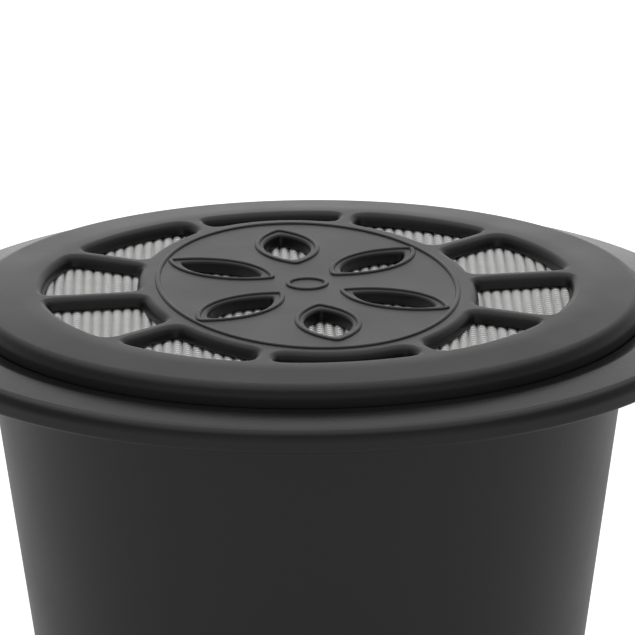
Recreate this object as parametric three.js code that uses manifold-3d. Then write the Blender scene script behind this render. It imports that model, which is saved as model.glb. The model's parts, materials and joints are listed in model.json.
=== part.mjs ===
// Refillable single-serve coffee pod: a tapered cup with a flange, a slotted lid and a woven filter disc.
// Millimetres, +Z up. The origin is the centre of the nose's rest face and +Z is the pod's axis.

import * as THREE from 'three';
import { mergeVertices } from 'three/addons/utils/BufferGeometryUtils.js';
import Module from 'manifold-3d';

const wasm = await Module();
wasm.setup();

// Flange
const flangeDiameter = 37.0;
const flangeThickness = 1.2;
const flangeEdgeRound = 0.35;
const flangeTopHeight = 28.4; // above the rest face
const seatDepth = 0.2; // shallow recess in the flange's top that the lid stands in
const seatBevel = 0.6; // width of the slope from the recess up to the flange's top

// Cup
const bodyDiameter = 29.64; // outside the wall, right under the flange
const wallSlope = 7.8; // degrees off the axis
const wallThickness = 1.0;
const shoulderHeight = 6.8; // where the steep wall turns in towards the nose
const shoulderRound = 1.6;
const noseDiameter = 12.0;
const noseRound = 0.6;
const noseRecessDiameter = 7.2;
const noseRecessDepth = 0.6;
const mouthRound = 0.2;
const innerRound = 0.8;

// Inlet holes in the nose
const inletDiameter = 0.9;
const inletRingDiameter = 4.6;
const inletRingCount = 6;

// Lid
const lidDiameter = 31.1;
const lidRise = 1.13; // lid's top above the flange's top
const crownMargin = 0.15; // from the slots out to where the flat top turns down
const crownDrop = 0.22;
const lidEdgeRound = 0.85;
const lidFootRound = 0.15;
const lidTurn = 8.5; // degrees about the axis, as it was pressed in
const plateThickness = 0.62;
const skirtThickness = 0.85;
const skirtDepth = 2.2; // below the seat
const skirtChamfer = 0.3;
const sealBeadRise = 0.18;
const sealBeadHalfHeight = 0.35;

// Slots round the lid's edge
const slotRimWidth = 0.55; // from the slots out to the skirt's inside
const slotSideLength = 4.57; // from the panel out to the slots' ring, along X
const slotEndLength = 1.05; // along Y
const slotCount = 10;
const spokeWidth = 0.85;
const slotCornerCut = 0.8;
const slotSideStraight = 0.1; // left between the two corners on a short side

// Petals: pointed openings in the oval panel inside the ring of slots
const petalCount = 6;
const petalLength = 4.4;
const petalWidth = 2.1;
const petalSideMargin = 3.58; // from the petals' middles out to the panel's edge, along X
const petalEndMargin = 4.9; // along Y

// Raised lines on the panel
const lineWidth = 0.24;
const lineRise = 0.12;
const petalLineMargin = 0.45;
const borderLineMargin = 0.75;
const hubLineDiameter = 2.0;

// Woven filter disc
const wireDiameter = 0.18;
const wirePitch = 0.46;
const wireCrossing = 0.16; // between the middles of the two layers of wire
const webThickness = 0.17;
const meshTurn = 1.0; // degrees between the wires and the Y axis
const gapStepCount = 4; // wires from one open gap to the next
const gapEdgeMargin = 1.65;

// Clearances
const lidSeatGap = 0.02;
const lidRimClearance = 0.15;
const plugClearance = 0.3;
const meshGap = 0.05;
const meshEdgeClearance = 0.1;
const meshEdgeHold = 0.15;

// Facets
const turnSegments = 60;
const filletSegments = 3;
const curveSegments = 8;
const holeSegments = 12;
const ovalSegments = 48;
const wireSides = 4;

const radians = THREE.MathUtils.degToRad;

// Closed body for joining and cutting, from any closed three.js geometry
function toSolid(geometry) {
  const bare = geometry.clone();
  bare.deleteAttribute('normal');
  bare.deleteAttribute('uv');
  const merged = mergeVertices(bare, 1e-5);
  const index = merged.index.array;
  const corners = [];
  for (let i = 0; i < index.length; i += 3) {
    const [a, b, c] = [index[i], index[i + 1], index[i + 2]];
    if (a !== b && b !== c && c !== a) corners.push(a, b, c);
  }
  return new wasm.Manifold(new wasm.Mesh({
    numProp: 3,
    vertProperties: new Float32Array(merged.attributes.position.array),
    triVerts: new Uint32Array(corners),
  }));
}

// three.js geometry from a finished body
function toGeometry(solid) {
  const result = solid.getMesh();
  const geometry = new THREE.BufferGeometry();
  geometry.setAttribute('position', new THREE.BufferAttribute(result.vertProperties, 3));
  geometry.setIndex(new THREE.BufferAttribute(result.triVerts, 1));
  geometry.computeVertexNormals();
  return geometry;
}

function joinAll(solids) {
  return solids.reduce((joined, next) => joined.add(next));
}

// Where the line through a and b meets the line through c and d
function meet(a, b, c, d) {
  const along = b.clone().sub(a);
  const other = d.clone().sub(c);
  const share = c.clone().sub(a).cross(other) / along.cross(other);
  return a.clone().addScaledVector(along, share);
}

// The two ends of a line moved sideways, to the left of its direction
function beside(a, b, distance) {
  const along = b.clone().sub(a).normalize();
  const side = new THREE.Vector2(-along.y, along.x).multiplyScalar(distance);
  return [a.clone().add(side), b.clone().add(side)];
}

// Profile through corners [radius, height, rounding], each rounded corner an arc
function roundedProfile(corners) {
  const points = [];
  corners.forEach(([r, z, rounding], i) => {
    const corner = new THREE.Vector2(r, z);
    if (!rounding) {
      points.push(corner);
      return;
    }
    const before = new THREE.Vector2(...corners[i - 1].slice(0, 2)).sub(corner).normalize();
    const after = new THREE.Vector2(...corners[i + 1].slice(0, 2)).sub(corner).normalize();
    const half = Math.acos(before.dot(after)) / 2;
    const middle = before.clone().add(after).normalize();
    const centre = middle.multiplyScalar(rounding / Math.sin(half)).add(corner);
    const start = before.multiplyScalar(rounding / Math.tan(half)).add(corner).sub(centre);
    const finish = after.multiplyScalar(rounding / Math.tan(half)).add(corner).sub(centre);
    const turn = Math.atan2(start.cross(finish), start.dot(finish));
    for (let k = 0; k <= filletSegments; k += 1) {
      const spot = start.clone().rotateAround(new THREE.Vector2(), (turn * k) / filletSegments);
      points.push(spot.add(centre));
    }
  });
  return points;
}

// Body of revolution about +Z
function turned(corners) {
  const lathe = new THREE.LatheGeometry(roundedProfile(corners), turnSegments);
  return toSolid(lathe.rotateX(Math.PI / 2));
}

function extruded(shape, fromHeight, toHeight) {
  const geometry = new THREE.ExtrudeGeometry(shape, {
    depth: toHeight - fromHeight,
    bevelEnabled: false,
    curveSegments,
  });
  return toSolid(geometry.translate(0, 0, fromHeight));
}

// Sizes that several pieces share
const flangeRadius = flangeDiameter / 2;
const lidRadius = lidDiameter / 2;
const flangeUnderHeight = flangeTopHeight - flangeThickness;
const seatHeight = flangeTopHeight - seatDepth;
const wallLean = Math.tan(radians(wallSlope));
const cupOuterRadius = (height) => bodyDiameter / 2 - (flangeUnderHeight - height) * wallLean;
const cupInnerRadius = (height) => cupOuterRadius(height) - wallThickness / Math.cos(radians(wallSlope));

// Cup with its flange, moulded as one piece
function makeCup() {
  const noseRadius = noseDiameter / 2;
  const recessRadius = noseRecessDiameter / 2;
  const floorHeight = noseRecessDepth + wallThickness;
  const shoulder = new THREE.Vector2(cupOuterRadius(shoulderHeight), shoulderHeight);
  const noseEdge = new THREE.Vector2(noseRadius, 0);
  const innerTop = new THREE.Vector2(cupInnerRadius(seatHeight), seatHeight);
  const innerLow = new THREE.Vector2(cupInnerRadius(0), 0);
  const innerSlope = beside(noseEdge, shoulder, wallThickness);
  const innerShoulder = meet(...innerSlope, innerTop, innerLow);
  const floorLine = [new THREE.Vector2(0, floorHeight), new THREE.Vector2(1, floorHeight)];
  const floorEdge = meet(...innerSlope, ...floorLine);
  const body = turned([
    [0, noseRecessDepth],
    [recessRadius, noseRecessDepth],
    [recessRadius + noseRecessDepth / 2, 0],
    [noseRadius, 0, noseRound],
    [shoulder.x, shoulder.y, shoulderRound],
    [bodyDiameter / 2, flangeUnderHeight],
    [flangeRadius, flangeUnderHeight, flangeEdgeRound],
    [flangeRadius, flangeTopHeight, flangeEdgeRound],
    [lidRadius + lidRimClearance + seatBevel, flangeTopHeight],
    [lidRadius + lidRimClearance, seatHeight],
    [innerTop.x, innerTop.y, mouthRound],
    [innerShoulder.x, innerShoulder.y, shoulderRound - wallThickness / 2],
    [floorEdge.x, floorEdge.y, innerRound],
    [0, floorHeight],
  ]);
  const inletRadius = inletDiameter / 2;
  const inlet = new THREE.CylinderGeometry(inletRadius, inletRadius, floorHeight * 2, holeSegments);
  inlet.rotateX(Math.PI / 2);
  const inlets = [toSolid(inlet)];
  for (let k = 0; k < inletRingCount; k += 1) {
    const angle = (k * 2 * Math.PI) / inletRingCount;
    const reach = inletRingDiameter / 2;
    inlets.push(toSolid(inlet.clone().translate(reach * Math.cos(angle), reach * Math.sin(angle), 0)));
  }
  return body.subtract(joinAll(inlets));
}

// Woven disc's sizes, and the lid's groove that holds its edge
const meshThickness = wireDiameter + wireCrossing;
const grooveHeight = meshThickness + 2 * meshGap;
const skirtTopRadius = cupInnerRadius(seatHeight) - plugClearance;
const skirtInnerRadius = skirtTopRadius - skirtThickness;
const meshRadius = skirtInnerRadius + meshEdgeHold;
const lidHeight = lidRise + seatDepth - lidSeatGap;
const plateUnderHeight = lidHeight - plateThickness;

// Outlines on the lid, each inside the one before
const slotRingRadius = skirtInnerRadius - slotRimWidth;
const panelHalfWidth = slotRingRadius - slotSideLength;
const panelHalfLength = slotRingRadius - slotEndLength;
const petalRingHalfWidth = panelHalfWidth - petalSideMargin;
const petalRingHalfLength = panelHalfLength - petalEndMargin;

// Where one side of a spoke meets the panel's oval, from its quadratic equation, and the slots' ring
function spokeSide(angle, side) {
  const along = new THREE.Vector2(Math.cos(angle), Math.sin(angle));
  const across = new THREE.Vector2(-along.y, along.x).multiplyScalar((side * spokeWidth) / 2);
  const a = (along.x / panelHalfWidth) ** 2 + (along.y / panelHalfLength) ** 2;
  const b = (along.x * across.x) / panelHalfWidth ** 2 + (along.y * across.y) / panelHalfLength ** 2;
  const c = (across.x / panelHalfWidth) ** 2 + (across.y / panelHalfLength) ** 2 - 1;
  const panelReach = (Math.sqrt(b * b - a * c) - b) / a;
  const ringReach = Math.sqrt(slotRingRadius ** 2 - across.lengthSq());
  return {
    inner: across.clone().addScaledVector(along, panelReach),
    outer: across.clone().addScaledVector(along, ringReach),
  };
}

// Outline of the slot between two neighbouring spokes, its corners cut back and curved
function slotOutline(spokeAngle) {
  const first = spokeSide(spokeAngle, 1);
  const second = spokeSide(spokeAngle + (2 * Math.PI) / slotCount, -1);
  const panelAngle = (p) => Math.atan2(p.y / panelHalfLength, p.x / panelHalfWidth);
  const unwrap = (from, to) => to + 2 * Math.PI * Math.round((from - to) / (2 * Math.PI));
  const ringCut = slotCornerCut / slotRingRadius;
  const panelCut = slotCornerCut / second.inner.length();
  const ringStart = first.outer.angle() + ringCut;
  const ringEnd = unwrap(ringStart, second.outer.angle()) - ringCut;
  const panelStart = panelAngle(second.inner) - panelCut;
  const panelEnd = unwrap(panelStart, panelAngle(first.inner)) + panelCut;
  const onRing = (t) => new THREE.Vector2(Math.cos(t), Math.sin(t)).multiplyScalar(slotRingRadius);
  const onPanel = (t) => new THREE.Vector2(panelHalfWidth * Math.cos(t), panelHalfLength * Math.sin(t));
  const sideCut = (side) => {
    const run = side.inner.clone().sub(side.outer);
    return run.setLength(Math.min(slotCornerCut, (run.length() - slotSideStraight) / 2));
  };
  const firstCut = sideCut(first);
  const secondCut = sideCut(second);
  const outline = new THREE.Shape();
  outline.moveTo(...onRing(ringStart));
  for (let k = 1; k <= curveSegments; k += 1) {
    outline.lineTo(...onRing(ringStart + ((ringEnd - ringStart) * k) / curveSegments));
  }
  outline.quadraticCurveTo(...second.outer, ...second.outer.clone().add(secondCut));
  outline.lineTo(...second.inner.clone().sub(secondCut));
  outline.quadraticCurveTo(...second.inner, ...onPanel(panelStart));
  for (let k = 1; k <= curveSegments; k += 1) {
    outline.lineTo(...onPanel(panelStart + ((panelEnd - panelStart) * k) / curveSegments));
  }
  outline.quadraticCurveTo(...first.inner, ...first.inner.clone().sub(firstCut));
  outline.lineTo(...first.outer.clone().add(firstCut));
  outline.quadraticCurveTo(...first.outer, ...onRing(ringStart));
  return outline;
}

// Pointed oval of two equal arcs, larger than the petal by a margin, its long way pointing off the middle
function petalOutline(angle, margin) {
  const halfLength = petalLength / 2 + 2 * margin;
  const halfWidth = petalWidth / 2 + margin;
  const centre = new THREE.Vector2(Math.cos(angle), Math.sin(angle));
  centre.multiply(new THREE.Vector2(petalRingHalfWidth, petalRingHalfLength));
  const heading = centre.angle();
  const arcRadius = (halfLength ** 2 + halfWidth ** 2) / (2 * halfWidth);
  const arcHalf = Math.asin(halfLength / arcRadius);
  const points = [];
  for (const side of [1, -1]) {
    for (let k = 0; k < curveSegments; k += 1) {
      const t = arcHalf * (1 - (2 * k) / curveSegments);
      const spot = new THREE.Vector2(Math.sin(t), Math.cos(t)).multiplyScalar(arcRadius);
      spot.y += halfWidth - arcRadius;
      points.push(spot.multiplyScalar(side).rotateAround(new THREE.Vector2(), heading).add(centre));
    }
  }
  return new THREE.Shape(points);
}

function ovalOutline(halfWidth, halfLength) {
  const oval = new THREE.EllipseCurve(0, 0, halfWidth, halfLength);
  return new THREE.Shape(oval.getPoints(ovalSegments).slice(0, -1));
}

// Raised line between an outline and the same outline drawn a line's width smaller
function raisedLine(outer, inner) {
  outer.holes.push(inner);
  return extruded(outer, lidHeight - plateThickness / 2, lidHeight + lineRise);
}

// Lid: plate, thick crowned rim and plug skirt in one moulding. Height 0 is its underside on the seat.
function makeLid() {
  const skirtFootRadius = skirtTopRadius - skirtDepth * wallLean;
  const beadHeight = -skirtDepth / 2;
  const beadRadius = (skirtTopRadius + skirtFootRadius) / 2;
  const grooveRadius = meshRadius + meshEdgeClearance;
  const body = turned([
    [0, plateUnderHeight],
    [grooveRadius, plateUnderHeight],
    [grooveRadius, plateUnderHeight - grooveHeight],
    [skirtInnerRadius, plateUnderHeight - grooveHeight],
    [skirtInnerRadius, -skirtDepth],
    [skirtFootRadius - skirtChamfer, -skirtDepth],
    [skirtFootRadius, -skirtDepth + skirtChamfer],
    [beadRadius - sealBeadHalfHeight * wallLean, beadHeight - sealBeadHalfHeight],
    [beadRadius + sealBeadRise, beadHeight],
    [beadRadius + sealBeadHalfHeight * wallLean, beadHeight + sealBeadHalfHeight],
    [skirtTopRadius, 0],
    [lidRadius, 0, lidFootRound],
    [lidRadius, lidHeight - crownDrop, lidEdgeRound],
    [slotRingRadius + crownMargin, lidHeight],
    [0, lidHeight],
  ]);
  const cutters = [];
  for (let k = 0; k < slotCount; k += 1) {
    cutters.push(extruded(slotOutline((k * 2 * Math.PI) / slotCount), 0, 2 * lidHeight));
  }
  const borderMargin = borderLineMargin + lineWidth;
  const hubRadius = hubLineDiameter / 2;
  const lines = [
    raisedLine(
      ovalOutline(panelHalfWidth - borderLineMargin, panelHalfLength - borderLineMargin),
      ovalOutline(panelHalfWidth - borderMargin, panelHalfLength - borderMargin),
    ),
    raisedLine(ovalOutline(hubRadius, hubRadius), ovalOutline(hubRadius - lineWidth, hubRadius - lineWidth)),
  ];
  for (let k = 0; k < petalCount; k += 1) {
    const angle = ((k + 0.5) * 2 * Math.PI) / petalCount;
    cutters.push(extruded(petalOutline(angle, 0), 0, 2 * lidHeight));
    lines.push(raisedLine(
      petalOutline(angle, petalLineMargin),
      petalOutline(angle, petalLineMargin - lineWidth),
    ));
  }
  return body.add(joinAll(lines)).subtract(joinAll(cutters));
}

// Plain weave: wires one way over wires the other way, on a thin web with open gaps between the wires
function makeMeshDisc() {
  const disc = (height) => new THREE.CylinderGeometry(meshRadius, meshRadius, height, turnSegments)
    .rotateX(Math.PI / 2);
  const wire = new THREE.CylinderGeometry(wireDiameter / 2, wireDiameter / 2, 2.2 * meshRadius, wireSides);
  const reach = Math.floor(meshRadius / wirePitch);
  const wires = [];
  for (let k = -reach; k <= reach; k += 1) {
    wires.push(toSolid(wire.clone().translate(k * wirePitch, 0, wireCrossing / 2)));
    const across = wire.clone().rotateZ(Math.PI / 2).translate(0, k * wirePitch, -wireCrossing / 2);
    wires.push(toSolid(across));
  }
  const woven = joinAll(wires).intersect(toSolid(disc(2 * meshThickness)));
  const gapWidth = wirePitch - wireDiameter;
  const gap = new THREE.BoxGeometry(gapWidth, gapWidth, 2 * meshThickness);
  const gapReach = Math.ceil(reach / gapStepCount);
  const gaps = [];
  for (let i = -gapReach; i <= gapReach; i += 1) {
    for (let j = -gapReach; j <= gapReach; j += 1) {
      const x = (i * gapStepCount + 0.5) * wirePitch;
      const y = (j * gapStepCount + 0.5) * wirePitch;
      if (Math.hypot(x, y) < meshRadius - gapEdgeMargin) gaps.push(toSolid(gap.clone().translate(x, y, 0)));
    }
  }
  return woven.add(toSolid(disc(webThickness))).subtract(joinAll(gaps));
}

function finish(color, roughness, metalness) {
  return new THREE.MeshStandardMaterial({ color, roughness, metalness });
}

function piece(name, solid, material) {
  const mesh = new THREE.Mesh(toGeometry(solid), material);
  mesh.name = name;
  return mesh;
}

const cup = piece('cup', makeCup(), finish(0x1c1c1d, 0.42, 0));
const lid = piece('lid', makeLid(), finish(0x202021, 0.45, 0));
const lidMesh = piece('lid_mesh', makeMeshDisc(), finish(0xb9bbbd, 0.3, 1));
lidMesh.rotation.z = radians(meshTurn - lidTurn);
lidMesh.position.z = plateUnderHeight - meshGap - meshThickness / 2;

const lidGroup = new THREE.Group();
lidGroup.add(lid, lidMesh);
lidGroup.rotation.z = radians(lidTurn);
lidGroup.position.z = seatHeight + lidSeatGap;

const pod = new THREE.Group();
pod.name = 'coffee_pod';
pod.add(cup, lidGroup);

export default pod;
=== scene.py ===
"""Refillable coffee pod dressed for a studio view: moulded cup, slotted lid, raised lines and woven filter.

Lengths are metres in the frame's own axes: +Z is the pod's axis and the nose stands on z = 0.
Every new piece is a surface worked out with numpy from the sizes in the sidebar panel.
"""

import json
import math

import bmesh
import bpy
import numpy as np
from mathutils import Matrix, Vector
from mathutils.geometry import tessellate_polygon

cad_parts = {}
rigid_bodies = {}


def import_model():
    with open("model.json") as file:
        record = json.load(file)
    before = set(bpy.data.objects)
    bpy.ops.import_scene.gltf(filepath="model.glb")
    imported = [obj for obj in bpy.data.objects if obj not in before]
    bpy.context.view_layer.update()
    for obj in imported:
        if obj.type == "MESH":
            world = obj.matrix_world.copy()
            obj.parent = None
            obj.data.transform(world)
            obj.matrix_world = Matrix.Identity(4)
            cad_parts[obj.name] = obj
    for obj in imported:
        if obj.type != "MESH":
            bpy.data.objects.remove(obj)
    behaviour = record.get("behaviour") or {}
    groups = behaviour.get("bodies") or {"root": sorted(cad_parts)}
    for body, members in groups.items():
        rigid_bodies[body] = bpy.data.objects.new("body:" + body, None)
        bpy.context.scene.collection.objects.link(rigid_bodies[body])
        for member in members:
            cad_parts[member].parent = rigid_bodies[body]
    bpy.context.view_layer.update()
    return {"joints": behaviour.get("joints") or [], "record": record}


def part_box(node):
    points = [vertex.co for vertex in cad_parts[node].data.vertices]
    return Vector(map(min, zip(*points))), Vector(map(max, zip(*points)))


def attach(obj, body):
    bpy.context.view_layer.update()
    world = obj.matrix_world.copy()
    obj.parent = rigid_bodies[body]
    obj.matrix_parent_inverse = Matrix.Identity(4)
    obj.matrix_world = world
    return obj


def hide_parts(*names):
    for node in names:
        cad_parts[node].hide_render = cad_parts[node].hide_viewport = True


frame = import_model()

bl_info = {
    "name": "Coffee Pod",
    "version": (1, 0, 0),
    "blender": (4, 5, 0),
    "location": "View3D > Sidebar > Coffee Pod",
    "description": "Builds the cup, lid and woven filter of a refillable coffee pod",
    "category": "Object",
}

MM = 0.001
CAD_LINE_RISE = 0.12 * MM
CUP_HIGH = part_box("cup")[1]
LID_LOW, LID_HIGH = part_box("lid")
MESH_LOW, MESH_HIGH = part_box("lid_mesh")
MOUNTS = {mount["name"]: mount["pos_m"] for mount in frame["record"]["mounts"]}
JOINT = frame["joints"][0]
CUP_BODY = JOINT["parent"]
LID_BODY = JOINT["child"]


def length(name, description, default):
    return bpy.props.FloatProperty(
        name=name,
        description=description,
        default=default,
        min=0.0,
        precision=5,
        subtype="DISTANCE",
        unit="LENGTH",
    )


def angle(name, description, degrees):
    return bpy.props.FloatProperty(
        name=name,
        description=description,
        default=math.radians(degrees),
        subtype="ANGLE",
        unit="ROTATION",
    )


def colour(name, description, default):
    return bpy.props.FloatVectorProperty(
        name=name,
        description=description,
        default=default,
        size=3,
        min=0.0,
        max=1.0,
        subtype="COLOR",
    )


def count(name, description, default):
    return bpy.props.IntProperty(name=name, description=description, default=default, min=1)


def factor(name, description, default, top=1.0):
    return bpy.props.FloatProperty(
        name=name,
        description=description,
        default=default,
        min=0.0,
        max=top,
        subtype="FACTOR",
    )


class PodCupSizes(bpy.types.PropertyGroup):
    """Sizes of the moulded cup and its flange"""

    flange_radius: length("Flange radius", "Outside radius of the flange", CUP_HIGH.x)
    flange_top: length("Flange top", "Height of the flange's top face", MOUNTS["flange_top"][2])
    flange_under: length(
        "Flange underside", "Height of the flange's lower face", MOUNTS["flange_underside"][2]
    )
    flange_drop: length("Flange drop", "How far the flange's top slopes down to its edge", 0.2 * MM)
    flange_round: length("Flange top edge", "Rounding of the flange's top edge", 0.55 * MM)
    flange_low_round: length("Flange lower edge", "Rounding of the flange's lower edge", 0.15 * MM)
    body_radius: length("Body radius", "Outside radius right under the flange", 14.82 * MM)
    wall_slope: angle("Wall slope", "Lean of the cup's wall off the axis", 7.8)
    wall: length("Wall", "Thickness of the cup's wall", 1.0 * MM)
    seat_depth: length("Seat depth", "Depth of the recess that the lid stands in", 0.2 * MM)
    rim_clearance: length("Rim clearance", "Gap between the lid and the recess's wall", 0.07 * MM)
    seat_bevel: length("Seat bevel", "Width of the slope from the recess up to the flange's top", 0.7 * MM)
    seat_bevel_drop: length("Seat bevel drop", "How far that slope falls towards the recess", 0.03 * MM)
    shoulder_height: length("Shoulder height", "Where the wall turns in to the nose", 6.8 * MM)
    shoulder_round: length("Shoulder rounding", "Outside rounding of the shoulder", 1.6 * MM)
    nose_radius: length("Nose radius", "Radius of the flat nose", 6.0 * MM)
    recess_radius: length("Recess radius", "Radius of the recess under the nose", 3.6 * MM)
    recess_depth: length("Recess depth", "Depth of the recess under the nose", 0.6 * MM)
    inlet_radius: length("Inlet radius", "Radius of each inlet hole", 0.45 * MM)
    inlet_ring: length("Inlet ring", "Radius of the ring of inlet holes", 2.3 * MM)
    inlet_count: count("Inlets", "Number of inlet holes in the ring", 6)


class PodLidSizes(bpy.types.PropertyGroup):
    """Sizes of the slotted lid"""

    radius: length("Lid radius", "Outside radius of the lid", 15.55 * MM)
    rise: length(
        "Rise", "Height of the lid's top over the flange", LID_HIGH.z - CUP_HIGH.z - CAD_LINE_RISE
    )
    crown_radius: length("Crown radius", "Where the flat top turns down towards the rim", 13.05 * MM)
    crown_drop: length("Crown drop", "How far the top has dropped at the rim", 0.22 * MM)
    crown_round: length("Crown rounding", "Radius of the soft turn from the flat top to the slope", 9.5 * MM)
    edge_round: length("Edge rounding", "Rounding of the lid's top edge", 0.58 * MM)
    turn: angle("Turn", "How far the lid is turned about the axis", 8.5)
    plate: length("Plate", "Thickness of the slotted plate", 0.62 * MM)
    skirt: length("Skirt", "Thickness of the plug skirt", 0.85 * MM)
    skirt_depth: length("Skirt depth", "From the lid's underside to the skirt's foot", 2.2 * MM)
    skirt_chamfer: length("Skirt chamfer", "Bevel at the skirt's foot", 0.3 * MM)
    skirt_clearance: length("Skirt clearance", "Gap between the skirt and the cup", 0.3 * MM)
    bead_rise: length("Bead rise", "How far the sealing bead stands out of the skirt", 0.18 * MM)
    bead_half: length("Bead half height", "Half the height of the sealing bead", 0.35 * MM)
    groove_height: length("Groove height", "Height of the groove that holds the filter's edge", 0.44 * MM)
    groove_clearance: length("Groove clearance", "From the filter's edge to the groove's wall", 0.12 * MM)
    slot_round: length("Slot edge", "Rounding of the slots' top edges", 0.4 * MM)
    slot_draft: length("Slot draft", "How far the slots' walls lean in", 0.12 * MM)
    petal_round: length("Petal edge", "Rounding of the petals' top edges", 0.16 * MM)
    foot_round: length("Foot edge", "Rounding of the lower edges of the slots and petals", 0.1 * MM)
    slot_ring: length("Slot ring", "Outer radius of the ring of slots", 12.22 * MM)
    slot_count: count("Slots", "Number of slots round the lid", 10)
    slot_soften: length("Slot corners", "How far the slots' corners are softened", 0.42 * MM)
    spoke: length("Spoke", "Width of each spoke between two slots", 0.85 * MM)
    panel_x: length("Panel half width", "Half the short way of the middle panel", 7.68 * MM)
    panel_y: length("Panel half length", "Half the long way of the middle panel", 11.2 * MM)
    petal_count: count("Petals", "Number of pointed openings in the panel", 6)
    petal_length: length("Petal length", "Length of each opening", 4.4 * MM)
    petal_width: length("Petal width", "Width of each opening", 2.1 * MM)
    petal_x: length("Petal ring half width", "Half the short way of the petals' ring", 4.1 * MM)
    petal_y: length("Petal ring half length", "Half the long way of the petals' ring", 6.3 * MM)
    petal_soften: length("Petal tips", "How far the petals' tips are softened", 0.12 * MM)
    line_width: length("Line width", "Width of the raised lines", 0.24 * MM)
    line_rise: length("Line rise", "Height of the raised lines", 0.08 * MM)
    petal_margin: length("Petal margin", "From an opening to its raised line", 0.45 * MM)
    border_margin: length("Border margin", "From the panel's edge to its raised line", 0.75 * MM)
    hub_radius: length("Hub radius", "Radius of the raised ring in the middle", 1.0 * MM)


class PodFilterSizes(bpy.types.PropertyGroup):
    """Sizes of the woven filter disc"""

    radius: length("Disc radius", "Radius of the woven disc", (MESH_HIGH.x - MESH_LOW.x) / 2)
    warp_wire: length("Warp wire", "Diameter of the straight wires along Y", 0.13 * MM)
    warp_pitch: length("Warp pitch", "Distance between neighbouring warp wires", 0.46 * MM)
    weft_wire: length("Weft wire", "Diameter of the fine wires along X", 0.15 * MM)
    weft_pitch: length("Weft pitch", "Distance between neighbouring weft wires", 0.16 * MM)
    turn: angle("Turn", "Angle between the warp and the Y axis", 1.0)


class PodLook(bpy.types.PropertyGroup):
    """Colours and finishes"""

    plastic: colour("Plastic", "Colour of the black plastic", (0.0082, 0.0082, 0.0084))
    cup_rough: factor("Cup roughness", "Roughness of the cup's satin moulding", 0.35)
    flange_polish: factor("Flange polish", "Share of the cup's roughness left on the flange's top", 0.6)
    lid_rough: factor("Lid roughness", "Roughness of the lid's satin moulding", 0.4)
    steel: colour("Steel", "Colour of the wire", (0.88, 0.88, 0.87))
    steel_rough: factor("Steel roughness", "Roughness of the wire", 0.45)
    paper: colour("Floor", "Colour of the floor and backdrop", (0.9, 0.9, 0.9))
    paper_glow: factor("Floor glow", "Light that the camera sees on the floor besides the lamps'", 0.62, 2.0)
    key: bpy.props.FloatProperty(
        name="Key light", description="Power of the overhead softbox", default=0.5, unit="POWER"
    )
    ambient: factor("Ambient", "Even light from the room", 0.42)
    room_tone: factor("Room tone", "Brightness of the room in reflections", 0.17)
    front_tone: factor("Front tone", "Brightness of the room's front horizon in reflections", 0.42)
    back_tone: factor("Back tone", "Brightness of the backdrop's foot in reflections", 1.85, 4.0)


# Curves and surfaces


def unit(vector):
    return vector / np.linalg.norm(vector)


def turned_by(points, turn):
    """Points in the plane turned about the origin by an angle."""
    c, s = np.cos(turn), np.sin(turn)
    return points @ np.array(((c, s), (-s, c)))


def rounded_profile(corners, steps=8, hold=0.03 * MM):
    """Profile through corners (radius, height, rounding).

    Each rounded corner is an arc that touches both of its sides, with a point a little
    further along each side, which keeps the side's own shading flat.
    """
    points = []
    for k, (radius, height, rounding) in enumerate(corners):
        corner = np.array((radius, height))
        if not rounding:
            points.append(corner)
            continue
        before = unit(np.array(corners[k - 1][:2]) - corner)
        after = unit(np.array(corners[k + 1][:2]) - corner)
        half = np.arccos(before @ after) / 2
        middle = corner + unit(before + after) * rounding / np.sin(half)
        reach = rounding / np.tan(half)
        start = corner + before * reach - middle
        finish = corner + after * reach - middle
        turn = np.arctan2(start[0] * finish[1] - start[1] * finish[0], start @ finish)
        angles = np.linspace(0, turn, steps + 1)
        arc = np.stack(
            (
                start[0] * np.cos(angles) - start[1] * np.sin(angles),
                start[0] * np.sin(angles) + start[1] * np.cos(angles),
            ),
            axis=1,
        )
        points.extend((corner + before * (reach + hold), *(arc + middle), corner + after * (reach + hold)))
    return np.array(points)


def grid_faces(rows, columns, close_rows=False, close_columns=True):
    """Quads of a grid of points, row after row, joined round where a direction closes."""
    row = np.arange(rows if close_rows else rows - 1)[:, None]
    column = np.arange(columns if close_columns else columns - 1)[None, :]
    next_row = (row + 1) % rows
    next_column = (column + 1) % columns
    corners = (
        row * columns + column,
        row * columns + next_column,
        next_row * columns + next_column,
        next_row * columns + column,
    )
    return np.stack([np.broadcast_to(c, (row.size, column.size)) for c in corners], axis=-1).reshape(-1, 4)


def revolve(profile, steps):
    """Surface of revolution: (r, z) of the profile turns through angle a as (r cos a, r sin a, z)."""
    turn = np.linspace(0, 2 * np.pi, steps, endpoint=False)
    radius, height = profile[:, :1], profile[:, 1:]
    points = np.stack(
        (radius * np.cos(turn), radius * np.sin(turn), np.broadcast_to(height, (len(profile), steps))),
        axis=-1,
    )
    return points.reshape(-1, 3), grid_faces(len(profile), steps)


def circle(radius, steps, centre=(0.0, 0.0)):
    turn = np.linspace(0, 2 * np.pi, steps, endpoint=False)
    return np.stack((np.cos(turn), np.sin(turn)), axis=1) * radius + np.array(centre)


def oval(half_x, half_y, steps):
    return circle(1.0, steps) * np.array((half_x, half_y))


def evenly(loop, points):
    """The same closed loop with its points spaced evenly along it."""
    closed = np.vstack((loop, loop[:1]))
    steps = np.linalg.norm(np.diff(closed, axis=0), axis=1)
    travel = np.concatenate(((0.0,), np.cumsum(steps)))
    at = np.linspace(0, travel[-1], points, endpoint=False)
    return np.stack([np.interp(at, travel, closed[:, k]) for k in range(2)], axis=1), travel[-1]


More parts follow.
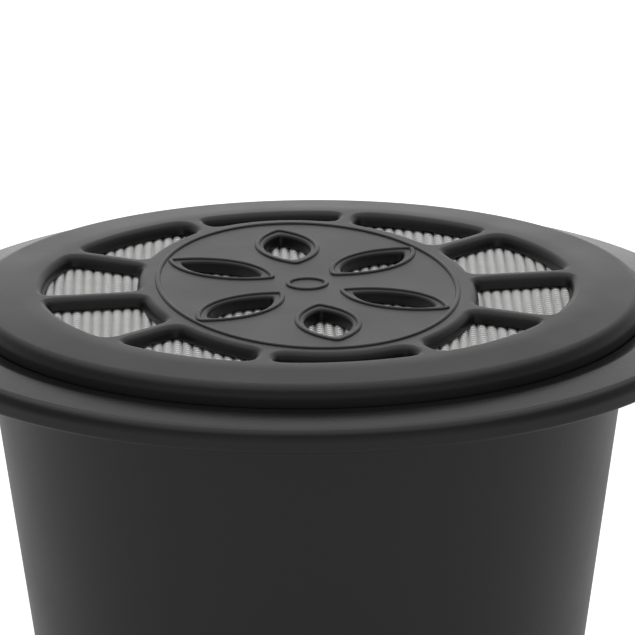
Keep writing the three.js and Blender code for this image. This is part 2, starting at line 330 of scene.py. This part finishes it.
def soften(loop, spread, points):
    """Closed loop blurred along its length by a bell curve of the given spread, which rounds its corners."""
    even, around = evenly(loop, points)
    waves = np.fft.fftfreq(points, around / points)
    keep = np.exp(-2 * (np.pi * spread * waves) ** 2)
    return np.real(np.fft.ifft(np.fft.fft(even, axis=0) * keep[:, None], axis=0))


def outward(loop):
    """Unit normals of a counter-clockwise closed loop, from each point's two neighbours."""
    along = np.roll(loop, -1, axis=0) - np.roll(loop, 1, axis=0)
    normals = np.stack((along[:, 1], -along[:, 0]), axis=1)
    return normals / np.linalg.norm(normals, axis=1, keepdims=True)


def sweep_section(loop, section, close_section=False):
    """Section (offset, height) carried round a closed loop, with the offset along the loop's normal."""
    offset = section[:, 0][:, None, None]
    flat = loop[None] + outward(loop)[None] * offset
    height = np.broadcast_to(section[:, 1][:, None, None], (len(section), len(loop), 1))
    points = np.concatenate((flat, height), axis=2)
    return points.reshape(-1, 3), grid_faces(len(section), len(loop), close_rows=close_section)


def opening_section(top, bottom, top_round, foot_round, draft=0.0, hold=0.02 * MM):
    """Wall of an opening: a rounded edge at the top, a wall that leans in by the draft, and a rounded foot.

    With the wall's lean b = atan(draft / height), a rounding r takes up r tan((90 - b) / 2) of the flat top
    and r tan((90 + b) / 2) of the flat underside.
    """
    lean = math.atan2(draft, top - bottom)
    reach = max(
        top_round * math.tan((math.pi / 2 - lean) / 2),
        foot_round * math.tan((math.pi / 2 + lean) / 2) - draft,
    )
    flat = reach + 2 * hold
    corners = (
        (flat, top, 0),
        (0.0, top, top_round),
        (-draft, bottom, foot_round),
        (flat, bottom, 0),
    )
    return rounded_profile(corners, steps=6, hold=hold)


def plate_face(outer, holes, height):
    """Flat face between an outer loop and its holes, in triangles."""
    loops = [outer, *holes]
    flat = np.vstack(loops)
    points = np.column_stack((flat, np.full(len(flat), height)))
    faces = tessellate_polygon([[Vector((x, y, 0.0)) for x, y in loop.tolist()] for loop in loops])
    return points, np.array(faces)


def hole_edge(loop, section):
    return loop + outward(loop) * section[0, 0]


def add_piece(name, surfaces, body, material, replaced=(), weld=0.2e-6):
    """One mesh from several surfaces, with shared edges welded and faces turned outwards."""
    start = 0
    points, faces = [], []
    for surface_points, surface_faces in surfaces:
        points.append(surface_points)
        faces.extend((surface_faces + start).tolist())
        start += len(surface_points)
    mesh = bpy.data.meshes.new(name)
    mesh.from_pydata(np.vstack(points), [], faces)
    shell = bmesh.new()
    shell.from_mesh(mesh)
    bmesh.ops.remove_doubles(shell, verts=shell.verts, dist=weld)
    bmesh.ops.recalc_face_normals(shell, faces=shell.faces)
    shell.to_mesh(mesh)
    shell.free()
    mesh.shade_smooth()
    mesh.materials.append(material)
    piece = bpy.data.objects.new(name, mesh)
    bpy.context.scene.collection.objects.link(piece)
    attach(piece, body)
    if replaced:
        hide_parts(*replaced)
    return piece


# Materials


class NodeTree:
    """Short calls for a node tree: add makes a node, sets its values and links its inputs"""

    def __init__(self, tree):
        self.tree = tree
        tree.nodes.clear()

    def add(self, kind, settings=None, values=None, links=None):
        node = self.tree.nodes.new(kind)
        for name, value in (settings or {}).items():
            setattr(node, name, value)
        for name, value in (values or {}).items():
            node.inputs[name].default_value = value
        for name, socket in (links or {}).items():
            self.tree.links.new(socket, node.inputs[name])
        return node


def carried(nodes, value, over, onto):
    """The value carried from one range of numbers to another, evenly and held at the ends."""
    spread = nodes.add(
        "ShaderNodeMapRange",
        values={"From Min": over[0], "From Max": over[1], "To Min": onto[0], "To Max": onto[1]},
        links={"Value": value},
    )
    return spread.outputs["Result"]


def shaded(tone, share):
    """The colour with its brightness changed, held at white, and with full opacity."""
    return (*[min(1.0, c * share) for c in tone], 1.0)


def new_material(name):
    material = bpy.data.materials.new(name)
    material.use_nodes = True
    return material, NodeTree(material.node_tree)


def satin_plastic(name, tone, roughness, polish=None):
    """Black moulded plastic: a fine even grain in the mould, and faint cloudy changes of gloss and colour.

    Where polish is given as a range of heights and a share, the roughness falls to that share over the range.
    """
    material, nodes = new_material(name)
    place = nodes.add("ShaderNodeTexCoord").outputs["Object"]
    cloud = nodes.add(
        "ShaderNodeTexNoise",
        values={"Scale": 260.0, "Detail": 3.0, "Roughness": 0.55},
        links={"Vector": place},
    )
    grain = nodes.add(
        "ShaderNodeTexNoise",
        values={"Scale": 5200.0, "Detail": 2.0, "Roughness": 0.6},
        links={"Vector": place},
    )
    shade = nodes.add(
        "ShaderNodeMix",
        settings={"data_type": "RGBA"},
        values={6: shaded(tone, 0.8), 7: shaded(tone, 1.2)},
        links={0: cloud.outputs["Fac"]},
    )
    rough = carried(nodes, cloud.outputs["Fac"], (0.25, 0.75), (roughness - 0.03, roughness + 0.03))
    bump = nodes.add(
        "ShaderNodeBump",
        values={"Strength": 0.35, "Distance": 0.012 * MM},
        links={"Height": grain.outputs["Fac"]},
    )
    if polish:
        heights, share = polish
        parts = nodes.add("ShaderNodeSeparateXYZ", links={"Vector": place})
        smoother = carried(nodes, parts.outputs["Z"], heights, (1.0, share))
        product = nodes.add(
            "ShaderNodeMath", settings={"operation": "MULTIPLY"}, links={0: rough, 1: smoother}
        )
        rough = product.outputs[0]
    shader = nodes.add(
        "ShaderNodeBsdfPrincipled",
        links={"Base Color": shade.outputs[2], "Roughness": rough, "Normal": bump.outputs["Normal"]},
    )
    nodes.add("ShaderNodeOutputMaterial", links={"Surface": shader.outputs["BSDF"]})
    return material


def drawn_steel(name, tone, roughness, along):
    """Bright drawn wire: fine streaks along the wire and small changes of tone."""
    material, nodes = new_material(name)
    place = nodes.add("ShaderNodeTexCoord").outputs["Object"]
    stretch = [9000.0, 9000.0, 9000.0]
    stretch[along] = 700.0
    streaked = nodes.add("ShaderNodeMapping", values={"Scale": stretch}, links={"Vector": place})
    streak = nodes.add(
        "ShaderNodeTexNoise",
        values={"Scale": 1.0, "Detail": 2.0},
        links={"Vector": streaked.outputs["Vector"]},
    )
    patch = nodes.add(
        "ShaderNodeTexNoise",
        values={"Scale": 900.0, "Detail": 2.0},
        links={"Vector": place},
    )
    shade = nodes.add(
        "ShaderNodeMix",
        settings={"data_type": "RGBA"},
        values={6: shaded(tone, 0.88), 7: shaded(tone, 1.1)},
        links={0: patch.outputs["Fac"]},
    )
    rough = carried(nodes, streak.outputs["Fac"], (0.25, 0.75), (roughness - 0.06, roughness + 0.06))
    shader = nodes.add(
        "ShaderNodeBsdfPrincipled",
        values={"Metallic": 1.0},
        links={"Base Color": shade.outputs[2], "Roughness": rough},
    )
    nodes.add("ShaderNodeOutputMaterial", links={"Surface": shader.outputs["BSDF"]})
    return material


# The pieces' outlines


def cup_lean(cup):
    return math.tan(cup.wall_slope)


def cup_inner_radius(cup, height):
    """Inside radius of the cup's wall: the outside cone less the wall's thickness across the slope."""
    outer = cup.body_radius - (cup.flange_under - height) * cup_lean(cup)
    return outer - cup.wall / math.cos(cup.wall_slope)


def seat_height(cup):
    return cup.flange_top - cup.seat_depth


def slot_loop(lid, first, points=144):
    """Edge of one slot: an arc of the ring, a spoke's side, an arc of the panel's oval and a spoke's side."""
    half = lid.spoke / 2
    step = 2 * math.pi / lid.slot_count
    axes = np.array((lid.panel_x, lid.panel_y))

    def spoke_side(turn, side):
        """Where one side of a spoke meets the panel's oval and the ring, each from its own quadratic."""
        along = np.array((math.cos(turn), math.sin(turn)))
        across = np.array((-along[1], along[0])) * side * half
        a = np.sum((along / axes) ** 2)
        b = 2 * np.sum(along * across / axes**2)
        c = np.sum((across / axes) ** 2) - 1
        reach = (-b + math.sqrt(b * b - 4 * a * c)) / (2 * a)
        ring_reach = math.sqrt(lid.slot_ring**2 - half**2)
        return across + along * reach, across + along * ring_reach

    inner_first, outer_first = spoke_side(first, 1)
    inner_second, outer_second = spoke_side(first + step, -1)
    ring_ends = np.unwrap([math.atan2(p[1], p[0]) for p in (outer_first, outer_second)])
    oval_ends = np.unwrap([math.atan2(p[1] / axes[1], p[0] / axes[0]) for p in (inner_second, inner_first)])
    ring_turn = np.linspace(*ring_ends, points)
    oval_turn = np.linspace(*oval_ends, points)
    ring_arc = np.stack((np.cos(ring_turn), np.sin(ring_turn)), axis=1) * lid.slot_ring
    oval_arc = np.stack((np.cos(oval_turn), np.sin(oval_turn)), axis=1) * axes
    return soften(np.vstack((ring_arc, oval_arc)), lid.slot_soften, points)


def petal_loop(lid, turn, margin=0.0, points=96):
    """Pointed oval of two equal arcs, set on the petals' ring and pointing away from the panel's middle."""
    half_length = lid.petal_length / 2 + 2 * margin
    half_width = lid.petal_width / 2 + margin
    arc_radius = (half_length**2 + half_width**2) / (2 * half_width)
    arc_half = math.asin(half_length / arc_radius)
    sweep = np.linspace(-arc_half, arc_half, points)
    lower = np.stack((np.sin(sweep), 1 - np.cos(sweep)), axis=1) * arc_radius - (0.0, half_width)
    centre = np.array((lid.petal_x * math.cos(turn), lid.petal_y * math.sin(turn)))
    loop = soften(np.vstack((lower, -lower)), lid.petal_soften, points)
    return turned_by(loop, math.atan2(centre[1], centre[0])) + centre


def petal_turns(lid):
    return (np.arange(lid.petal_count) + 0.5) * 2 * math.pi / lid.petal_count


class POD_OT_cup(bpy.types.Operator):
    """Make the moulded cup with its flange, shoulder, nose and inlet holes"""

    bl_idname = "pod.cup"
    bl_label = "Cup"

    around = 288
    inlet_points = 36
    edge_round = 0.12 * MM
    recess_round = 0.15 * MM
    nose_round = 0.6 * MM
    neck_round = 0.25 * MM
    crest_round = 1.5 * MM
    seat_round = 0.05 * MM
    mouth_round = 0.2 * MM
    floor_round = 0.8 * MM
    recess_flat = 0.93
    floor_flat = 0.8

    def execute(self, context):
        cup, lid, look = context.scene.pod_cup, context.scene.pod_lid, context.scene.pod_look
        floor = cup.recess_depth + cup.wall
        shoulder_radius = cup.body_radius - (cup.flange_under - cup.shoulder_height) * cup_lean(cup)
        seat = seat_height(cup)
        seat_radius = lid.radius + cup.rim_clearance
        # The nose's slope moved inwards by the wall meets the wall's own cone and the floor
        run = shoulder_radius - cup.nose_radius
        slope = cup.shoulder_height / run
        aside = cup.wall * math.hypot(1, slope) / slope
        inner_start = cup_inner_radius(cup, 0.0)
        inner_height = (inner_start - (cup.nose_radius - aside)) / (1 / slope - cup_lean(cup))
        floor_edge = cup.nose_radius - aside + floor / slope
        corners = (
            (cup.recess_radius * self.recess_flat, cup.recess_depth, 0),
            (cup.recess_radius, cup.recess_depth, self.recess_round),
            (cup.recess_radius + cup.recess_depth / 2, 0.0, self.edge_round),
            (cup.nose_radius, 0.0, self.nose_round),
            (shoulder_radius, cup.shoulder_height, cup.shoulder_round),
            (cup.body_radius, cup.flange_under, self.neck_round),
            (cup.flange_radius, cup.flange_under, cup.flange_low_round),
            (cup.flange_radius, cup.flange_top - cup.flange_drop, cup.flange_round),
            (seat_radius + cup.seat_bevel, cup.flange_top, self.crest_round),
            (seat_radius, cup.flange_top - cup.seat_bevel_drop, self.seat_round),
            (seat_radius, seat, self.seat_round),
            (cup_inner_radius(cup, seat), seat, self.mouth_round),
            (cup_inner_radius(cup, inner_height), inner_height, cup.shoulder_round - cup.wall / 2),
            (floor_edge, floor, self.floor_round),
            (floor_edge * self.floor_flat, floor, 0),
        )
        profile = rounded_profile(corners)
        ring = circle(cup.inlet_ring, cup.inlet_count)
        holes = [circle(cup.inlet_radius, self.inlet_points, centre) for centre in ((0.0, 0.0), *ring)]
        section = opening_section(floor, cup.recess_depth, self.edge_round, self.edge_round)
        edges = [hole_edge(hole, section) for hole in holes]
        surfaces = [
            revolve(profile, self.around),
            plate_face(circle(profile[0, 0], self.around), edges, cup.recess_depth),
            plate_face(circle(profile[-1, 0], self.around), edges, floor),
            *(sweep_section(hole, section) for hole in holes),
        ]
        # The polish fades in on the upper part of the flange's slope and edge
        heights = (cup.flange_top - 1.1 * cup.flange_drop, cup.flange_top - 0.7 * cup.flange_drop)
        polish = (heights, look.flange_polish)
        plastic = satin_plastic("cup_plastic", look.plastic, look.cup_rough, polish)
        add_piece("cup_moulding", surfaces, CUP_BODY, plastic, ("cup",))
        return {"FINISHED"}


class POD_OT_lid(bpy.types.Operator):
    """Make the lid: slotted plate, rounded rim and plug skirt in one moulding"""

    bl_idname = "pod.lid"
    bl_label = "Lid"

    around = 288
    groove_edge = 0.04 * MM
    groove_face = 0.1 * MM
    skirt_edge = 0.1 * MM
    foot_edge = 0.15 * MM

    def execute(self, context):
        cup, lid, look = context.scene.pod_cup, context.scene.pod_lid, context.scene.pod_look
        weave = context.scene.pod_filter
        top = cup.flange_top + lid.rise
        under = top - lid.plate
        seat = LID_LOW.z + lid.skirt_depth
        skirt_top = cup_inner_radius(cup, seat_height(cup)) - lid.skirt_clearance
        skirt_inner = skirt_top - lid.skirt
        skirt_foot = skirt_top - lid.skirt_depth * cup_lean(cup)
        groove = weave.radius + lid.groove_clearance
        groove_low = under - lid.groove_height
        bead = (skirt_top + skirt_foot) / 2
        bead_height = seat - lid.skirt_depth / 2
        lean = lid.bead_half * cup_lean(cup)
        corners = (
            (groove - self.groove_face, under, 0),
            (groove, under, self.groove_edge),
            (groove, groove_low, self.groove_edge),
            (skirt_inner, groove_low, self.groove_edge),
            (skirt_inner, LID_LOW.z, self.skirt_edge),
            (skirt_foot - lid.skirt_chamfer, LID_LOW.z, self.skirt_edge),
            (skirt_foot, LID_LOW.z + lid.skirt_chamfer, self.skirt_edge),
            (bead - lean, bead_height - lid.bead_half, self.skirt_edge),
            (bead + lid.bead_rise, bead_height, self.skirt_edge),
            (bead + lean, bead_height + lid.bead_half, self.skirt_edge),
            (skirt_top, seat, self.skirt_edge),
            (lid.radius, seat, self.foot_edge),
            (lid.radius, top - lid.crown_drop, lid.edge_round),
            (lid.crown_radius, top, lid.crown_round),
            (0.0, top, 0),
        )
        # The last corner only gives the direction of the flat top, whose face is made with its openings
        profile = rounded_profile(corners, steps=12)[:-1]
        step = 2 * math.pi / lid.slot_count
        slots = [turned_by(slot_loop(lid, k * step), lid.turn) for k in range(lid.slot_count)]
        petals = [turned_by(petal_loop(lid, turn), lid.turn) for turn in petal_turns(lid)]
        slot_section = opening_section(top, under, lid.slot_round, lid.foot_round, lid.slot_draft)
        petal_section = opening_section(top, under, lid.petal_round, lid.foot_round)
        holes = [(loop, slot_section) for loop in slots] + [(loop, petal_section) for loop in petals]
        edges = [hole_edge(loop, section) for loop, section in holes]
        surfaces = [
            revolve(profile, self.around),
            plate_face(circle(profile[-1, 0], self.around), edges, top),
            plate_face(circle(profile[0, 0], self.around), edges, under),
            *(sweep_section(loop, section) for loop, section in holes),
        ]
        plastic = satin_plastic("lid_plastic", look.plastic, look.lid_rough)
        add_piece("lid_moulding", surfaces, LID_BODY, plastic, ("lid",))
        return {"FINISHED"}


class POD_OT_lid_lines(bpy.types.Operator):
    """Make the raised lines of the lid's panel: its border, a ring round each petal and the hub ring"""

    bl_idname = "pod.lid_lines"
    bl_label = "Lid lines"

    section_points = 16
    border_points = 240
    hub_points = 96
    sunk_share = 0.3

    def execute(self, context):
        cup, lid, look = context.scene.pod_cup, context.scene.pod_lid, context.scene.pod_look
        top = cup.flange_top + lid.rise
        turn = np.linspace(0, 2 * np.pi, self.section_points, endpoint=False)
        # Half-round above the plate and sunk a little into it
        rise = np.where(np.sin(turn) > 0, lid.line_rise, self.sunk_share * lid.line_rise) * np.sin(turn)
        section = np.stack((np.cos(turn) * lid.line_width / 2, rise + top), axis=1)
        middle = lid.line_width / 2
        border = lid.border_margin + middle
        loops = [
            oval(lid.panel_x - border, lid.panel_y - border, self.border_points),
            circle(lid.hub_radius - middle, self.hub_points),
        ]
        loops += [petal_loop(lid, at, lid.petal_margin - middle) for at in petal_turns(lid)]
        surfaces = [sweep_section(turned_by(loop, lid.turn), section, close_section=True) for loop in loops]
        plastic = satin_plastic("line_plastic", look.plastic, look.lid_rough)
        add_piece("lid_lines", surfaces, LID_BODY, plastic)
        return {"FINISHED"}


def wire_tube(run, aside, height, radius, sides=6):
    """Tube round one wire of the weave, closed at both ends.

    The wire runs straight in plan at a distance a, and rises and falls as h(s). With tan b = dh/ds, its ring
    of angle t round the point (s, a, h) is (s - r cos t sin b, a + r sin t, h + r cos t cos b). The first and
    last ring shrink to a point.
    """
    lean = np.arctan(np.gradient(height, run))
    spread = np.full(len(run) + 2, radius)
    spread[[0, -1]] = 0.0
    run, height, lean = (np.pad(values, 1, mode="edge")[:, None] for values in (run, height, lean))
    ring = np.linspace(0, 2 * np.pi, sides, endpoint=False)[None]
    lift = spread[:, None] * np.cos(ring)
    points = np.stack(
        (run - lift * np.sin(lean), aside + spread[:, None] * np.sin(ring), height + lift * np.cos(lean)),
        axis=-1,
    )
    return points.reshape(-1, 3), grid_faces(len(run), sides)


def places_across(radius, pitch, wire):
    """Distances from the disc's middle at which its wires run, and half the length of each."""
    reach = int((radius - wire) // pitch)
    number = np.arange(-reach, reach + 1)
    return zip(number, number * pitch, np.sqrt((radius - wire) ** 2 - (number * pitch) ** 2))


class POD_OT_filter(bpy.types.Operator):
    """Make the woven filter disc: straight warp wires along Y, and fine weft wires packed across them"""

    bl_idname = "pod.filter"
    bl_label = "Woven filter"

    crossing_steps = 4
    warp_steps = 3
    warp_sides = 10

    def execute(self, context):
        weave, look = context.scene.pod_filter, context.scene.pod_look
        warp_steel = drawn_steel("warp_steel", look.steel, look.steel_rough, 1)
        weft_steel = drawn_steel("weft_steel", look.steel, look.steel_rough, 0)
        # The weft is two pieces, each of every second wire, to keep a piece's mesh within reason
        weft = self.weft_wires(weave)
        add_piece("filter_warp", self.warp_wires(weave), LID_BODY, warp_steel, ("lid_mesh",))
        add_piece("filter_weft_even", weft[0::2], LID_BODY, weft_steel)
        add_piece("filter_weft_odd", weft[1::2], LID_BODY, weft_steel)
        return {"FINISHED"}

    def placed(self, weave, tube, runs_along_y):
        """The tube turned with the weave and lifted to the filter's height."""
        points, faces = tube
        flat = points[:, [1, 0]] if runs_along_y else points[:, :2]
        height = points[:, 2:] + (MESH_LOW.z + MESH_HIGH.z) / 2
        return np.hstack((turned_by(flat, weave.turn), height)), faces

    def warp_wires(self, weave):
        wires = []
        for _, aside, half in places_across(weave.radius, weave.warp_pitch, weave.warp_wire):
            run = np.linspace(-half, half, self.warp_steps)
            tube = wire_tube(run, aside, np.zeros_like(run), weave.warp_wire / 2, self.warp_sides)
            wires.append(self.placed(weave, tube, True))
        return wires

    def weft_wires(self, weave):
        """Weft wire n has the height w cos(pi (s / p + n)), over every second warp wire, under the rest."""
        wave = (weave.warp_wire + weave.weft_wire) / 2
        wires = []
        for number, aside, half in places_across(weave.radius, weave.weft_pitch, weave.weft_wire):
            steps = 2 + int(2 * half / weave.warp_pitch * self.crossing_steps)
            run = np.linspace(-half, half, steps)
            height = wave * np.cos(np.pi * (run / weave.warp_pitch + number))
            tube = wire_tube(run, aside, height, weave.weft_wire / 2)
            wires.append(self.placed(weave, tube, False))
        return wires


class POD_OT_stage(bpy.types.Operator):
    """Make the white floor, the softbox, the bright room and the camera at the photograph's angle"""

    bl_idname = "pod.stage"
    bl_label = "Stage"

    floor_size = 3.0
    floor_height = -0.01 * MM
    camera_distance = 0.3
    camera_elevation = 16.24
    camera_roll = -0.44
    focal_pixels = 6522.0
    image_pixels = 635
    lid_centre_pixel = (307.5, 283.7)
    sensor_width = 36.0
    softbox_size = 0.5
    softbox_place = (0.0, 0.05, 0.34)

    def execute(self, context):
        look = context.scene.pod_look
        self.add_floor(look)
        self.add_room(context.scene, look)
        self.add_softbox("key_softbox", look.key, self.softbox_size, self.softbox_place)
        self.add_camera(context.scene)
        context.scene.view_settings.view_transform = "Standard"
        return {"FINISHED"}

    def add_floor(self, look):
        half = self.floor_size / 2
        mesh = bpy.data.meshes.new("floor")
        around = ((-half, -half), (half, -half), (half, half), (-half, half))
        mesh.from_pydata([(*corner, self.floor_height) for corner in around], [], ((0, 1, 2, 3),))
        material, nodes = new_material("floor_paper")
        place = nodes.add("ShaderNodeTexCoord").outputs["Object"]
        fleck = nodes.add("ShaderNodeTexNoise", values={"Scale": 300.0}, links={"Vector": place})
        tone = nodes.add(
            "ShaderNodeMix",
            settings={"data_type": "RGBA"},
            values={6: shaded(look.paper, 0.99), 7: shaded(look.paper, 1.0)},
            links={0: fleck.outputs["Fac"]},
        )
        paper = nodes.add("ShaderNodeBsdfDiffuse", links={"Color": tone.outputs[2]})
        glow = nodes.add(
            "ShaderNodeEmission", values={"Color": (1.0, 1.0, 1.0, 1.0), "Strength": look.paper_glow}
        )
        dark = nodes.add("ShaderNodeEmission", values={"Color": (0.0, 0.0, 0.0, 1.0), "Strength": 0.0})
        ray = nodes.add("ShaderNodeLightPath")
        lift = nodes.add(
            "ShaderNodeMixShader",
            links={0: ray.outputs["Is Camera Ray"], 1: dark.outputs[0], 2: glow.outputs[0]},
        )
        both = nodes.add("ShaderNodeAddShader", links={0: paper.outputs[0], 1: lift.outputs[0]})
        nodes.add("ShaderNodeOutputMaterial", links={"Surface": both.outputs[0]})
        mesh.materials.append(material)
        floor = bpy.data.objects.new("floor", mesh)
        bpy.context.scene.collection.objects.link(floor)

    def add_room(self, scene, look):
        """Bright backdrop for the camera, a darker room in front for reflections, and an even light."""
        world = bpy.data.worlds.new("room")
        world.use_nodes = True
        scene.world = world
        nodes = NodeTree(world.node_tree)
        way = nodes.add("ShaderNodeTexCoord").outputs["Generated"]
        parts = nodes.add("ShaderNodeSeparateXYZ", links={"Vector": way})
        sideways = nodes.add(
            "ShaderNodeMath", settings={"operation": "ABSOLUTE"}, links={0: parts.outputs["X"]}
        )
        # The backdrop shines brightest straight behind the pod and at its foot
        behind = carried(nodes, parts.outputs["Y"], (-0.2, 0.9), (0.0, 1.0))
        low = carried(nodes, parts.outputs["Z"], (0.0, 0.5), (1.0, 0.2))
        middle = carried(nodes, sideways.outputs[0], (0.0, 0.5), (1.0, 0.2))
        share = nodes.add(
            "ShaderNodeMath", settings={"operation": "MULTIPLY"}, links={0: behind, 1: low}
        )
        glow = nodes.add(
            "ShaderNodeMath", settings={"operation": "MULTIPLY"}, links={0: share.outputs[0], 1: middle}
        )
        room = carried(nodes, glow.outputs[0], (0.0, 1.0), (look.room_tone, look.back_tone))
        # The front of the room is brighter near the horizon, where the floor runs on into it
        front = carried(nodes, parts.outputs["Y"], (-0.7, -0.2), (look.front_tone - look.room_tone, 0.0))
        horizon = carried(nodes, parts.outputs["Z"], (0.2, 0.9), (1.0, 0.0))
        around = nodes.add(
            "ShaderNodeMath", settings={"operation": "MULTIPLY_ADD"}, links={0: front, 1: horizon, 2: room}
        )
        ray = nodes.add("ShaderNodeLightPath")
        reflected = nodes.add(
            "ShaderNodeMix",
            settings={"data_type": "FLOAT"},
            values={2: look.ambient},
            links={0: ray.outputs["Is Glossy Ray"], 3: around.outputs[0]},
        )
        seen = nodes.add(
            "ShaderNodeMix",
            settings={"data_type": "FLOAT"},
            values={3: 1.0},
            links={0: ray.outputs["Is Camera Ray"], 2: reflected.outputs[0]},
        )
        light = nodes.add(
            "ShaderNodeBackground",
            values={"Color": (1.0, 1.0, 1.0, 1.0)},
            links={"Strength": seen.outputs[0]},
        )
        nodes.add("ShaderNodeOutputWorld", links={"Surface": light.outputs[0]})

    def add_softbox(self, name, power, size, place):
        lamp = bpy.data.lights.new(name, "AREA")
        lamp.shape = "SQUARE"
        lamp.size = size
        lamp.energy = power
        softbox = bpy.data.objects.new(name, lamp)
        aim = Vector((0.0, 0.0, CUP_HIGH.z)) - Vector(place)
        softbox.matrix_world = Matrix.Translation(place) @ aim.to_track_quat("-Z", "Y").to_matrix().to_4x4()
        bpy.context.scene.collection.objects.link(softbox)

    def add_camera(self, scene):
        """Camera on a line through the lid's centre, aimed so that the centre lands on its pixel."""
        rise = math.radians(self.camera_elevation)
        back = Vector((0.0, -math.cos(rise), math.sin(rise)))
        up = Vector((0.0, math.sin(rise), math.cos(rise)))
        right = Vector((1.0, 0.0, 0.0))
        centre = Vector((0.0, 0.0, scene.pod_cup.flange_top + scene.pod_lid.rise))
        per_pixel = self.camera_distance / self.focal_pixels
        across = (self.image_pixels / 2 - self.lid_centre_pixel[0]) * per_pixel
        down = (self.image_pixels / 2 - self.lid_centre_pixel[1]) * per_pixel
        place = centre + back * self.camera_distance
        aim = centre + right * across - up * down - place
        lens = bpy.data.cameras.new("camera")
        lens.sensor_width = self.sensor_width
        lens.lens = self.focal_pixels / self.image_pixels * self.sensor_width
        lens.clip_start = 0.01
        lens.clip_end = 20.0
        camera = bpy.data.objects.new("camera", lens)
        look_along = aim.to_track_quat("-Z", "Y").to_matrix().to_4x4()
        roll = Matrix.Rotation(math.radians(self.camera_roll), 4, "Z")
        camera.matrix_world = Matrix.Translation(place) @ look_along @ roll
        scene.collection.objects.link(camera)
        scene.camera = camera


class POD_PT_panel(bpy.types.Panel):
    """Sidebar panel that lists the pod's operators and sizes"""

    bl_label = "Coffee Pod"
    bl_idname = "POD_PT_panel"
    bl_space_type = "VIEW_3D"
    bl_region_type = "UI"
    bl_category = "Coffee Pod"

    def draw(self, context):
        for operator in OPERATORS:
            self.layout.operator(operator.bl_idname)
        for group_name in GROUPS:
            group = getattr(context.scene, group_name)
            box = self.layout.box()
            for property_name in group.__annotations__:
                box.prop(group, property_name)


GROUPS = {
    "pod_cup": PodCupSizes,
    "pod_lid": PodLidSizes,
    "pod_filter": PodFilterSizes,
    "pod_look": PodLook,
}
OPERATORS = (POD_OT_stage, POD_OT_cup, POD_OT_lid, POD_OT_lid_lines, POD_OT_filter)
CLASSES = (*GROUPS.values(), *OPERATORS, POD_PT_panel)


def register():
    for cls in CLASSES:
        bpy.utils.register_class(cls)
    for name, group in GROUPS.items():
        setattr(bpy.types.Scene, name, bpy.props.PointerProperty(type=group))


def unregister():
    for name in GROUPS:
        delattr(bpy.types.Scene, name)
    for cls in reversed(CLASSES):
        bpy.utils.unregister_class(cls)


def main():
    register()
    bpy.ops.pod.stage()
    bpy.ops.pod.cup()
    bpy.ops.pod.lid()
    bpy.ops.pod.lid_lines()
    bpy.ops.pod.filter()


if __name__ == "__main__":
    main()
